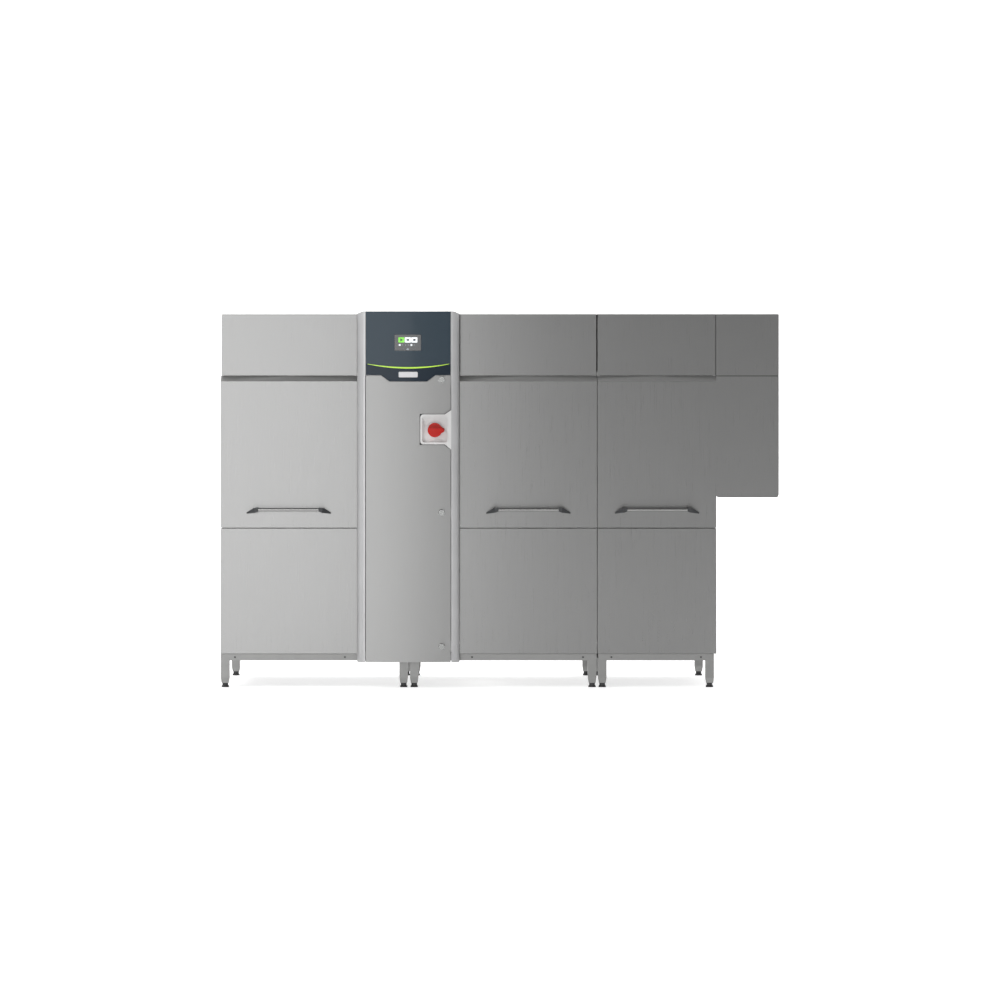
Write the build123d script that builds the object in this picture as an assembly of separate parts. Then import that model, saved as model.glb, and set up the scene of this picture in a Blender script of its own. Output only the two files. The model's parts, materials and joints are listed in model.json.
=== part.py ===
from build123d import *
import math
import os

# Rack-conveyor dishwasher: wash module, rinse module, dryer module and exit hood.
# Millimetres, +Z up, front towards -Y, racks travel from -X to +X.

# Overall envelope
LENGTH = 2654.0
HALF_LENGTH = LENGTH / 2
REAR_Y = 450.0
DOOR_Y = -345.0
FASCIA_Y = -310.0
BODY_TOP_Z = 1774.0
COLUMN_TOP_Z = 1784.0

# Module ends along X
WASH_X0 = -HALF_LENGTH
WASH_X1 = -436.0
RINSE_X0 = -434.0
RINSE_X1 = 460.0
DRYER_X0 = 463.0
DRYER_X1 = 1027.0
DRYER_WALL_X = 1026.0
HOOD_X0 = 1028.0
HOOD_X1 = HALF_LENGTH
HOOD_BOTTOM_Z = 901.0

# Sheet thicknesses
SKIN = 1.2
WALL = 2.0

# Base frame, legs and feet
RAIL_Z0 = 128.0
RAIL_Z1 = 158.5
RAIL_W = 40.0
RAIL_FRONT_Y = -340.0
RAIL_REAR_Y = 420.0
LEG = 40.0
LEG_Z0 = 21.0
LEG_TAPER_Z = 46.0
FOOT_BASE_R = 18.0
FOOT_STEM_R = 14.0

# Front openings: lower panels, doors, fascia
PANEL_Z0 = 160.0
PANEL_Z1 = 755.0
PANEL_BACK_Y = -284.0
DOOR_Z0 = 759.0
DOOR_CAP_Z = 1453.5
DOOR_Z1 = 1480.5
DOOR_BACK_Y = -311.5
FASCIA_Z0 = 1482.0
DOOR_SPANS = {"wash": (WASH_X0, -679.0), "rinse": (-191.0, RINSE_X1), "dryer": (DRYER_X0, DRYER_X1)}

# Lift-door running gear
FLANGE_BACK_Y = -284.0
SHOE_W = 12.0
SHOE_Y0 = -303.5
SHOE_Y1 = -284.5
SHOE_LEVELS = ((770.0, 830.0), (1090.0, 1150.0))
LIFT_BAR_Z = (1030.0, 1050.0)
GUIDE_Z0 = 767.0
GUIDE_Z1 = 1768.0

# Door handle
HANDLE_LENGTH = 400.0
HANDLE_BAR = 290.0
HANDLE_Z = 845.0
HANDLE_OUT = 44.0

# Wash tunnel
FRONT_WALL_Y = -281.5
CHAMBER_Y0 = -279.5
CHAMBER_Y1 = 308.0
CHAMBER_Z0 = 750.0
CHAMBER_Z1 = 1500.0
MOUTH_Y0 = -262.0
MOUTH_Y1 = 290.0
MOUTH_Z0 = 862.0
MOUTH_Z1 = 1425.0
BULKHEAD_MOUTH_Z0 = 822.0
OPENING_Z0 = 766.0
OPENING_Z1 = 1352.0

# Tanks
WASH_TANK_Z = 470.0
RINSE_TANK_Z = 560.0
DRYER_TRAY_Z = 700.0
STRAINER_BAYS = 12
RISER_R = 15.3

# Rack transport
TRACK_Z = 900.0
SHUTTLE_Y0 = 10.0
SHUTTLE_Y1 = 30.0
SHUTTLE_Z0 = 835.0
SHUTTLE_Z1 = 855.0
DOG_X = (-1150.0, -700.0, -250.0, 200.0, 650.0)
TIE_X = (-925.0, -475.0, -25.0, 425.0, 875.0)
ROCKER_X = 745.0
ROCKER_PIVOT_Z = 482.0
ROCKER_PIN_Z = 822.0
ROCKER_Y0 = 42.0
ROCKER_Y1 = 54.0

# Splash curtains
CURTAIN_X = {"entry": -1319.5, "wash_rinse": -435.0, "rinse_dryer": 461.5, "exit": 1319.5}
ROD_ENDS = {"entry": (-279.5, 308.0), "exit": (-308.8, 448.8)}
CURTAIN_ROD_Z = 1412.0
CURTAIN_ROD_R = 4.0
CURTAIN_BOTTOM_Z = 938.0

# Control column
COLUMN_X0 = -677.0
COLUMN_X1 = -193.0
COLUMN_MID = -435.0
COLUMN_Z0 = 124.0
TRIM_INNER = 203.5
TRIM_BACK_Y = -342.0
TRIM_KNEE_Y = -384.0
TRIM_FRONT_Y = -416.0
TRIM_WALL = 2.5
CAB_HALF = 200.5
CAB_FRONT_Y = -420.0
CAB_EDGE_Y = -412.0
CAB_TOP_Z = 1479.0
CAB_PIVOT = (-632.8, -408.0)
GLASS_Z0 = 1482.0
GLASS_Z1 = 1783.0
LATCH_X = -276.5
LATCH_LEVELS = {"top": 1461.0, "middle": 831.0, "bottom": 198.0}
SWITCH_X = -309.0
SWITCH_Z = 1222.0

# Wash pump
PUMP_X = -850.0
PUMP_Y = 208.0
PUMP_Z = 320.0

# Service connections, kept above the lower edge of the column as seen from the front
DRAIN_Z0 = 90.0
INLET_Z0 = 103.5

# Dryer fan
FAN_X = 900.0
FAN_Y = 10.0

os.makedirs("parts", exist_ok=True)


def slab(x0, x1, y0, y1, z0, z1):
    centre = Pos((x0 + x1) / 2, (y0 + y1) / 2, (z0 + z1) / 2)
    return centre * Box(abs(x1 - x0), abs(y1 - y0), abs(z1 - z0))


def rod_x(x0, x1, y, z, r):
    return Pos((x0 + x1) / 2, y, z) * Rot(0, 90, 0) * Cylinder(r, abs(x1 - x0))


def rod_y(y0, y1, x, z, r):
    return Pos(x, (y0 + y1) / 2, z) * Rot(90, 0, 0) * Cylinder(r, abs(y1 - y0))


def rod_z(z0, z1, x, y, r):
    return Pos(x, y, (z0 + z1) / 2) * Cylinder(r, abs(z1 - z0))


def prism_y(points, y0, y1):
    face = make_face(Polyline(*[(x, y0, z) for x, z in points], close=True))
    return extrude(face, amount=y1 - y0, dir=(0, 1, 0))


def prism_x(points, x0, x1):
    face = make_face(Polyline(*[(x0, y, z) for y, z in points], close=True))
    return extrude(face, amount=x1 - x0, dir=(1, 0, 0))


def prism_z(points, z0, z1):
    face = make_face(Polyline(*[(x, y, z0) for x, y in points], close=True))
    return extrude(face, amount=z1 - z0, dir=(0, 0, 1))


def save(name, *pieces):
    solids = []
    for piece in pieces:
        solids.extend(piece.solids())
    shape = solids[0] if len(solids) == 1 else Compound(solids)
    export_step(shape, f"parts/{name}.step")


def pan(x0, x1, y0, y1, z0, z1, t=SKIN):
    outer = slab(x0, x1, y0, y1, z0, z1)
    return outer - slab(x0 + t, x1 - t, y0 + t, y1 + 1, z0 + t, z1 - t)


def portal(x0, x1, y0, y1, z0, z1, mouth_y0=MOUTH_Y0, mouth_y1=MOUTH_Y1, mouth_z0=MOUTH_Z0):
    strips = [slab(x0, x1, y0, mouth_y0, z0, z1)]
    strips.append(slab(x0, x1, mouth_y1, y1, z0, z1))
    strips.append(slab(x0, x1, mouth_y0, mouth_y1, MOUTH_Z1, z1))
    if mouth_z0 > z0:
        strips.append(slab(x0, x1, mouth_y0, mouth_y1, z0, mouth_z0))
    return strips


# Base frames: one welded frame with four legs under each module
LEG_CORNERS = {
    "wash": (-1326.5, -438.0),
    "rinse": (-428.0, 457.5),
    "dryer": (466.0, 1016.0),
}
foot_centres = []
for module, (x0, x1) in LEG_CORNERS.items():
    inner_y0 = RAIL_FRONT_Y + RAIL_W
    inner_y1 = RAIL_REAR_Y - RAIL_W
    frame = slab(x0, x1, RAIL_FRONT_Y, RAIL_REAR_Y, RAIL_Z0, RAIL_Z1)
    frame -= slab(x0 + RAIL_W, x1 - RAIL_W, inner_y0, inner_y1, 100, 200)
    for y0 in (RAIL_FRONT_Y, RAIL_REAR_Y - RAIL_W):
        frame -= slab(x0 + RAIL_W, x1 - RAIL_W, y0 + 2, y0 + RAIL_W - 2, 100, RAIL_Z1 - 2)
    for xr in (x0, x1 - RAIL_W):
        frame -= slab(xr + 2, xr + RAIL_W - 2, inner_y0, inner_y1, 100, RAIL_Z1 - 2)
    tie = slab(x0 + RAIL_W, x1 - RAIL_W, 90, 130, RAIL_Z0, RAIL_Z1)
    tie -= slab(x0 + RAIL_W, x1 - RAIL_W, 92, 128, 100, RAIL_Z1 - 2)
    frame += tie
    pieces = [frame]
    for xc in (x0 + LEG / 2, x1 - LEG / 2):
        for yc in (RAIL_FRONT_Y + LEG / 2, RAIL_REAR_Y - LEG / 2):
            tube = Pos(xc, yc, (LEG_TAPER_Z + RAIL_Z0) / 2) * Box(LEG, LEG, RAIL_Z0 - LEG_TAPER_Z)
            low = Plane((xc, yc, LEG_Z0)) * Rectangle(33, 33)
            high = Plane((xc, yc, LEG_TAPER_Z)) * Rectangle(LEG, LEG)
            leg = tube + loft([low, high])
            leg -= slab(xc - 14.6, xc + 14.6, yc - 14.6, yc + 14.6, 0, RAIL_Z0 - 3)
            pieces.append(leg)
            foot_centres.append((xc, yc))
    save(f"base_frame_{module}", *pieces)

feet = []
for xc, yc in foot_centres:
    foot = rod_z(0, 8, xc, yc, FOOT_BASE_R)
    foot = fillet(foot.edges().group_by(Axis.Z)[-1], 2)
    feet.append(foot + rod_z(8, RAIL_Z0 - 3, xc, yc, FOOT_STEM_R))
save("levelling_feet", *feet)

screws = []
for xc in (-1259.0, -737.0, -133.0, 394.0, 529.0, 954.0):
    head = rod_y(RAIL_FRONT_Y - 1.6, RAIL_FRONT_Y, xc, 143.5, 4.5)
    screws.append(head - rod_y(RAIL_FRONT_Y - 2, RAIL_FRONT_Y - 0.6, xc, 143.5, 2.0))
save("frame_screws", *screws)

# Lower front panels
for module, (x0, x1) in DOOR_SPANS.items():
    panel = pan(x0, x1, DOOR_Y, PANEL_BACK_Y, PANEL_Z0, PANEL_Z1)
    panel = fillet(panel.edges().filter_by(Axis.X).group_by(Axis.Y)[0], 1.0)
    save(f"lower_panel_{module}", panel)

# Fascia panels above the doors
for module, (x0, x1) in DOOR_SPANS.items():
    sheet = slab(x0 + 2, x1 - 2, FASCIA_Y, FASCIA_Y + SKIN, FASCIA_Z0, BODY_TOP_Z - SKIN)
    lip = slab(x0 + 2, x1 - 2, FASCIA_Y, FASCIA_Y + 3, FASCIA_Z0, FASCIA_Z0 + SKIN)
    top = slab(x0 + 2, x1 - 2, FASCIA_Y, -283.0, BODY_TOP_Z - 2 * SKIN, BODY_TOP_Z - SKIN)
    save(f"fascia_{module}", sheet + lip + top)

# Lift doors: outer skin with sloping cap, inner skin, side flanges, shoes and lift bar
for module, (x0, x1) in DOOR_SPANS.items():
    outline = [(DOOR_Y, DOOR_Z0), (DOOR_Y, DOOR_CAP_Z), (DOOR_BACK_Y, DOOR_Z1), (DOOR_BACK_Y, DOOR_Z0)]
    skin = prism_x(outline, x0, x1)
    hollow = [(DOOR_Y + SKIN, DOOR_Z0 + SKIN), (DOOR_Y + SKIN, DOOR_CAP_Z - 0.6)]
    hollow += [(DOOR_BACK_Y + 2, DOOR_Z1 + 0.1), (DOOR_BACK_Y + 2, DOOR_Z0 + SKIN)]
    skin -= prism_x(hollow, x0 + SKIN, x1 - SKIN)
    liner = slab(x0 + SKIN, x1 - SKIN, DOOR_BACK_Y - 1, DOOR_BACK_Y, DOOR_Z0 + SKIN, DOOR_Z1 - 3.5)
    pieces = [skin, liner]
    for side, xs in ((1, x0), (-1, x1)):
        xa = min(xs, xs + side * SKIN)
        pieces.append(slab(xa, xa + SKIN, DOOR_BACK_Y, FLANGE_BACK_Y, 765, 1160))
        shoe_x0, shoe_x1 = sorted((xs + side * SKIN, xs + side * (SKIN + SHOE_W)))
        for z0, z1 in SHOE_LEVELS:
            pieces.append(slab(shoe_x0, shoe_x1, SHOE_Y0, SHOE_Y1, z0, z1))
    pieces.append(slab(x0 + SKIN, x1 - SKIN, -303, -295, LIFT_BAR_Z[0], LIFT_BAR_Z[1]))
    save(f"door_{module}", *pieces)

    # Pull handle: bar on two wedge-shaped end brackets
    xc = (x0 + x1) / 2
    half_bar = HANDLE_BAR / 2
    half = HANDLE_LENGTH / 2
    front = DOOR_Y - HANDLE_OUT
    bar = slab(xc - half_bar - 10, xc + half_bar + 10, front, front + 20, HANDLE_Z - 7, HANDLE_Z + 7)
    bar = fillet(bar.edges().filter_by(Axis.X), 6.0)
    pieces = [bar]
    for side in (-1, 1):
        wedge = [(xc + side * (half_bar - 2), HANDLE_Z - 9), (xc + side * (half_bar - 2), HANDLE_Z + 9)]
        wedge += [(xc + side * (half_bar + 20), HANDLE_Z + 7), (xc + side * half, HANDLE_Z - 14)]
        wedge += [(xc + side * half, HANDLE_Z - 20), (xc + side * (half_bar + 12), HANDLE_Z - 14)]
        bracket = prism_y(wedge, front, DOOR_Y)
        slope = prism_z(
            [
                (xc + side * (half_bar + 8), front - 5),
                (xc + side * (half + 5), DOOR_Y - 6),
                (xc + side * (half + 5), front - 5),
            ],
            HANDLE_Z - 40,
            HANDLE_Z + 40,
        )
        bracket -= slope
        bracket -= bar
        pieces.append(bracket)
    save(f"handle_{module}", *pieces)

# Door guide channels, one at each door edge
guides = []
for x0, x1 in DOOR_SPANS.values():
    for side, xs in ((1, x0), (-1, x1)):
        a = xs + side * 2.4
        b = xs + side * 16.5
        w = xs + side * 14.5
        guides.append(slab(min(a, w), max(a, w), -306.5, -304.5, GUIDE_Z0, GUIDE_Z1))
        guides.append(slab(min(a, w), max(a, w), -283.5, FRONT_WALL_Y, GUIDE_Z0, GUIDE_Z1))
        for z0, z1 in ((GUIDE_Z0, LIFT_BAR_Z[0] - 5), (LIFT_BAR_Z[1] + 605, GUIDE_Z1)):
            guides.append(slab(min(w, b), max(w, b), -306.5, FRONT_WALL_Y, z0, z1))
save("door_guides", *guides)

# Door balancers: spring drum per door, in a fixed housing under the roof
DRUM_R = 40.0
DRUM_Y = -257.0
DRUM_Z = 1700.0
housings = []
for module, (x0, x1) in DOOR_SPANS.items():
    xc = (x0 + x1) / 2
    for side in (-1, 1):
        xa = xc + side * 21
        cheek = slab(min(xa, xa + side * 3), max(xa, xa + side * 3), -278, -210, CHAMBER_Z1, 1745)
        housings.append(cheek)
    housings.append(rod_x(xc - 21, xc + 21, DRUM_Y, DRUM_Z, 6.0))
    drum = rod_x(xc - 19, xc + 19, DRUM_Y, DRUM_Z, DRUM_R - 4)
    drum += rod_x(xc - 19, xc - 15, DRUM_Y, DRUM_Z, DRUM_R + 4)
    drum += rod_x(xc + 15, xc + 19, DRUM_Y, DRUM_Z, DRUM_R + 4)
    drum -= rod_x(xc - 30, xc + 30, DRUM_Y, DRUM_Z, 6.05)
    for k in range(4):
        hole = rod_x(xc - 30, xc + 30, DRUM_Y, DRUM_Z, 6.0)
        hole = Pos(0, 22 * math.cos(k * math.pi / 2), 22 * math.sin(k * math.pi / 2)) * hole
        drum -= hole
    save(f"balancer_drum_{module}", drum)
save("balancer_brackets", *housings)

# Roof and rear panels
roofs = []
rears = []
for x0, x1 in ((WASH_X0, WASH_X1), (RINSE_X0, RINSE_X1 + 1), (DRYER_X0, HOOD_X0)):
    roofs.append(slab(x0, x1, FASCIA_Y, REAR_Y, BODY_TOP_Z - SKIN, BODY_TOP_Z))
    rears.append(slab(x0, x1, REAR_Y - SKIN, REAR_Y, PANEL_Z0, BODY_TOP_Z - SKIN))
column_notch = slab(COLUMN_X0 - 0.5, COLUMN_X1 + 0.5, -500, -281, 1700, 1800)
roofs[0] -= column_notch
roofs[1] -= column_notch
save("roof_panels", *roofs)
save("rear_panels", *rears)

# Tunnel ends and bulkheads
save("entry_portal", *portal(WASH_X0, WASH_X0 + WALL, -282, REAR_Y - SKIN, PANEL_Z0, BODY_TOP_Z - SKIN))
dryer_end = portal(DRYER_WALL_X, HOOD_X0, -282, REAR_Y - SKIN, PANEL_Z0, BODY_TOP_Z - SKIN)

# Wash, rinse and drying chambers
shells = []
CHAMBERS = {
    "wash": (-1325.0, WASH_X1, -1300.0, -700.0),
    "rinse": (RINSE_X0, RINSE_X1, -170.0, 437.0),
    "dryer": (DRYER_X0, DRYER_WALL_X, 487.0, 1002.0),
}
for module, (x0, x1, xa, xb) in CHAMBERS.items():
    walls = [slab(x0, x1, CHAMBER_Y1, CHAMBER_Y1 + WALL, CHAMBER_Z0, CHAMBER_Z1)]
    roof = slab(x0, x1, CHAMBER_Y0, CHAMBER_Y1, CHAMBER_Z1 - WALL, CHAMBER_Z1)
    if module == "dryer":
        roof -= rod_z(1490, 1510, FAN_X, FAN_Y, 60)
    walls.append(roof)
    walls.append(slab(x0, xa, FRONT_WALL_Y, CHAMBER_Y0, CHAMBER_Z0, CHAMBER_Z1))
    walls.append(slab(xb, x1, FRONT_WALL_Y, CHAMBER_Y0, CHAMBER_Z0, CHAMBER_Z1))
    walls.append(slab(xa, xb, FRONT_WALL_Y, CHAMBER_Y0, OPENING_Z1, CHAMBER_Z1))
    walls.append(slab(xa, xb, FRONT_WALL_Y, CHAMBER_Y0, CHAMBER_Z0, OPENING_Z0))
    shells.extend(walls)
save("chamber_shells", *shells)

bulkheads = []
for x0, x1 in ((WASH_X1, RINSE_X0), (RINSE_X1, DRYER_X0)):
    plate_z1 = CHAMBER_Z1 - WALL
    bulkheads += portal(x0, x1, CHAMBER_Y0, CHAMBER_Y1, CHAMBER_Z0, plate_z1, mouth_z0=BULKHEAD_MOUTH_Z0)
save("bulkheads", *bulkheads, *dryer_end)

# Tanks and dryer tray, welded from flat plates
tanks = []
TANKS = {
    "wash_tank": (-1325.0, WASH_X1, WASH_TANK_Z),
    "rinse_tank": (RINSE_X0, RINSE_X1, RINSE_TANK_Z),
    "dryer_tray": (DRYER_X0, DRYER_WALL_X, DRYER_TRAY_Z),
}
for name, (x0, x1, z0) in TANKS.items():
    plates = [slab(x0, x1, CHAMBER_Y0, CHAMBER_Y0 + WALL, z0, CHAMBER_Z0)]
    plates.append(slab(x0, x1, CHAMBER_Y1 - WALL, CHAMBER_Y1, z0, CHAMBER_Z0))
    plates.append(slab(x0, x0 + WALL, CHAMBER_Y0 + WALL, CHAMBER_Y1 - WALL, z0, CHAMBER_Z0))
    plates.append(slab(x1 - WALL, x1, CHAMBER_Y0 + WALL, CHAMBER_Y1 - WALL, z0, CHAMBER_Z0))
    fy0 = CHAMBER_Y0 + WALL
    fy1 = CHAMBER_Y1 - WALL
    if name == "dryer_tray":
        plates.append(slab(x0 + WALL, x1 - WALL, fy0, 34, z0, z0 + WALL))
        plates.append(slab(x0 + WALL, x1 - WALL, 62, fy1, z0, z0 + WALL))
        plates.append(slab(x0 + WALL, 650, 34, 62, z0, z0 + WALL))
        plates.append(slab(840, x1 - WALL, 34, 62, z0, z0 + WALL))
    else:
        floor = slab(x0 + WALL, x1 - WALL, fy0, fy1, z0, z0 + WALL)
        if name == "wash_tank":
            floor -= rod_z(z0 - 5, z0 + 5, PUMP_X, PUMP_Y + 80, RISER_R)
        plates.append(floor)
    tanks.extend(plates)
save("tanks", *tanks)

# Exit hood
upper = [slab(HOOD_X0, HOOD_X1, FASCIA_Y, FASCIA_Y + SKIN, 1481, BODY_TOP_Z - SKIN)]
upper.append(slab(HOOD_X0, HOOD_X1, REAR_Y - SKIN, REAR_Y, 1481, BODY_TOP_Z - SKIN))
upper.append(slab(HOOD_X0, HOOD_X1, FASCIA_Y, REAR_Y, BODY_TOP_Z - SKIN, BODY_TOP_Z))
hood_sides = []
for ya in (FASCIA_Y, REAR_Y - SKIN):
    side = slab(HOOD_X0, HOOD_X1, ya, ya + SKIN, HOOD_BOTTOM_Z, 1478)
    low_right = side.edges().filter_by(Axis.Y).sort_by(Axis.Z)[:2]
    hood_sides.append(fillet(low_right, 14))
save("hood_side_panels", *hood_sides)
exit_strips = portal(
    HOOD_X1 - WALL, HOOD_X1, FASCIA_Y + SKIN, REAR_Y - SKIN, HOOD_BOTTOM_Z + 18, BODY_TOP_Z - SKIN,
    mouth_z0=0.0,
)
inner_strips = [
    slab(HOOD_X0, HOOD_X1 - WALL, FASCIA_Y + SKIN, FASCIA_Y + 22, 1470, 1490),
    slab(HOOD_X0, HOOD_X1 - WALL, REAR_Y - 22, REAR_Y - SKIN, 1470, 1490),
]
save("hood_shell", *upper, *exit_strips, *inner_strips)

# Rack track: two angle rails on tie bars, with slotted shuttle hangers
track = []
for y_in, y_out in ((-200.0, -240.0), (228.0, 268.0)):
    ya = min(y_in, y_out)
    yb = max(y_in, y_out)
    outer = y_out - 3 if y_out < 0 else y_out
    rail = slab(WASH_X0, HOOD_X0, ya, yb, TRACK_Z - 3, TRACK_Z)
    rail += slab(WASH_X0, HOOD_X0, outer, outer + 3, TRACK_Z - 3, TRACK_Z + 32)
    track.append(rail)
for xc in TIE_X:
    track.append(slab(xc - 10, xc + 10, CHAMBER_Y0, CHAMBER_Y1, TRACK_Z - 17, TRACK_Z - 3))
    hanger = slab(xc - 10, xc + 10, 2, 38, 826, TRACK_Z - 17)
    hanger -= slab(xc - 11, xc + 11, SHUTTLE_Y0 - 0.5, SHUTTLE_Y1 + 0.5, SHUTTLE_Z0 - 0.5, SHUTTLE_Z1 + 0.5)
    track.append(hanger)
save("rack_track", *track)

shuttle = slab(-1230, 940, SHUTTLE_Y0, SHUTTLE_Y1, SHUTTLE_Z0, SHUTTLE_Z1)
dogs = []
for xc in DOG_X:
    dog = [(xc - 30, SHUTTLE_Z1), (xc + 14, SHUTTLE_Z1), (xc + 14, TRACK_Z + 22), (xc + 4, TRACK_Z + 22)]
    dogs.append(prism_y(dog, SHUTTLE_Y0 + 4, SHUTTLE_Y1 - 4))
drop = slab(ROCKER_X - 12, ROCKER_X + 12, SHUTTLE_Y1, SHUTTLE_Y1 + 6, 808, SHUTTLE_Z1)
pin = rod_y(SHUTTLE_Y1 + 6, ROCKER_Y1 + 4, ROCKER_X, ROCKER_PIN_Z, 6)
save("shuttle_bar", shuttle, *dogs, drop, pin)

rocker = slab(ROCKER_X - 22, ROCKER_X + 22, ROCKER_Y0, ROCKER_Y1, ROCKER_PIVOT_Z, 848)
rocker += rod_y(ROCKER_Y0, ROCKER_Y1, ROCKER_X, ROCKER_PIVOT_Z, 32)
rocker -= slab(ROCKER_X - 8, ROCKER_X + 8, ROCKER_Y0 - 1, ROCKER_Y1 + 1, 806, 860)
rocker += rod_y(ROCKER_Y0 - 6, 76, ROCKER_X, ROCKER_PIVOT_Z, 10)
save("drive_rocker", rocker)

gearbox = slab(ROCKER_X - 55, ROCKER_X + 55, 58, 160, ROCKER_PIVOT_Z - 55, ROCKER_PIVOT_Z + 55)
gearbox = fillet(gearbox.edges().filter_by(Axis.Y), 8)
gearbox -= rod_y(50, 80, ROCKER_X, ROCKER_PIVOT_Z, 10.05)
motor = rod_x(ROCKER_X + 55, ROCKER_X + 235, 109, ROCKER_PIVOT_Z, 55)
fan_cover = rod_x(ROCKER_X + 235, ROCKER_X + 265, 109, ROCKER_PIVOT_Z, 58)
stand = slab(ROCKER_X - 45, ROCKER_X + 45, 92, 126, RAIL_Z1, ROCKER_PIVOT_Z - 55)
save("gear_motor", gearbox, motor, fan_cover, stand)

# Wash pump, impeller and spray arms
casing = rod_x(PUMP_X - 35, PUMP_X + 35, PUMP_Y, PUMP_Z, 110)
casing += rod_z(PUMP_Z, WASH_TANK_Z, PUMP_X, PUMP_Y + 80, 22)
casing += rod_x(PUMP_X - 120, PUMP_X - 35, PUMP_Y, PUMP_Z, 32)
casing += rod_z(PUMP_Z - 32, WASH_TANK_Z, PUMP_X - 120, PUMP_Y, 34)
casing -= rod_x(PUMP_X - 28, PUMP_X + 28, PUMP_Y, PUMP_Z, 103)
casing -= rod_z(PUMP_Z, WASH_TANK_Z + 5, PUMP_X, PUMP_Y + 80, RISER_R)
casing -= rod_x(PUMP_X - 120, PUMP_X, PUMP_Y, PUMP_Z, 28)
casing -= rod_z(PUMP_Z, WASH_TANK_Z + 5, PUMP_X - 120, PUMP_Y, 28)
casing -= rod_x(PUMP_X, PUMP_X + 60, PUMP_Y, PUMP_Z, 12.05)
pump_motor = rod_x(PUMP_X + 35, PUMP_X + 270, PUMP_Y, PUMP_Z, 75)
pump_motor -= rod_x(PUMP_X + 30, PUMP_X + 95, PUMP_Y, PUMP_Z, 12.05)
pump_stand = slab(PUMP_X + 80, PUMP_X + 240, 92, 128, RAIL_Z1, PUMP_Z + 3)
pump_stand -= rod_x(PUMP_X + 30, PUMP_X + 270, PUMP_Y, PUMP_Z, 75)
save("wash_pump", casing, pump_motor, pump_stand)

impeller = rod_x(PUMP_X - 18, PUMP_X - 14, PUMP_Y, PUMP_Z, 92)
impeller -= rod_x(PUMP_X - 20, PUMP_X - 10, PUMP_Y, PUMP_Z, 30)
impeller += rod_x(PUMP_X + 14, PUMP_X + 18, PUMP_Y, PUMP_Z, 92)
impeller += rod_x(PUMP_X - 10, PUMP_X + 18, PUMP_Y, PUMP_Z, 18)
for k in range(6):
    blade = slab(PUMP_X - 15, PUMP_X + 15, PUMP_Y + 32, PUMP_Y + 90, PUMP_Z - 2, PUMP_Z + 2)
    spin = Pos(PUMP_X, PUMP_Y, PUMP_Z) * Rot(k * 60, 0, 0) * Pos(-PUMP_X, -PUMP_Y, -PUMP_Z)
    impeller += spin * blade
impeller += rod_x(PUMP_X + 18, PUMP_X + 90, PUMP_Y, PUMP_Z, 12)
save("pump_impeller", impeller)


def spray_frame(x_list, x0, x1, z, up, y_header=280.0, y_end=-250.0):
    body = rod_x(x0, x1, y_header, z, 18)
    for xa in x_list:
        body += rod_y(y_end, y_header, xa, z, 13)
        for k in range(6):
            yn = y_end + 40 + k * 86
            nozzle = rod_z(z, z + up * 20, xa, yn, 5)
            body += nozzle
    return body


arms = spray_frame((-1180, -1080, -980, -780), -1200, -760, 790, 1)
arms += rod_z(440, 1448, PUMP_X, PUMP_Y + 80, 15)
arms += spray_frame((-1180, -1080, -980, -780), -1200, -760, 1448, -1)
rinse_arms = spray_frame((-90, -10, 70), -110, 90, 790, 1)
rinse_arms += spray_frame((-90, -10, 70), -110, 90, 1448, -1)
rinse_arms += rod_z(790, 1448, 30, 288, 14)
save("spray_arms", arms, rinse_arms)

# Rinse water booster boiler on four stub feet, with a cradle plate in the base frame
boiler = rod_z(190, 530, -80, -90, 130)
boiler = fillet(boiler.edges().filter_by(GeomType.CIRCLE), 20)
boiler_feet = []
for xa in (-130.0, -30.0):
    for ya in (-140.0, -40.0):
        boiler_feet.append(rod_z(RAIL_Z1, 196, xa, ya, 12))
cradle = slab(-140, -20, -300, 90, RAIL_Z1 - 20, RAIL_Z1)
for foot in boiler_feet:
    boiler += foot
save("booster_boiler", boiler, cradle)

# Tank heaters: hairpin rods on a flange inside each tank
heaters = []
for x_wall, length, z in ((-1323.0, 420.0, 530.0), (-432.0, 420.0, 625.0)):
    flange = rod_x(x_wall, x_wall + 8, -120, z, 50)
    for dy in (-25, 25):
        flange += rod_x(x_wall + 8, x_wall + length, -120 + dy, z, 6)
    bend = Pos(x_wall + length, -120, z) * Torus(25, 6)
    bend -= slab(x_wall + length - 60, x_wall + length, -200, -40, z - 20, z + 20)
    heaters.append(flange + bend)
save("tank_heaters", *heaters)

# Strainer trays over the tanks
strainers = []
for x0, x1 in ((-1315.0, -905.0), (-795.0, -445.0), (-425.0, 10.0), (20.0, 450.0)):
    tray = slab(x0, x1, -272, 250, 720, 745)
    tray -= slab(x0 + 8, x1 - 8, -264, 242, 710, 760)
    for k in range(1, STRAINER_BAYS):
        xb = x0 + (x1 - x0) * k / STRAINER_BAYS
        tray += slab(xb - 2, xb + 2, -268, 246, 722, 728)
    strainers.append(tray)
save("strainer_trays", *strainers)

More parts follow.
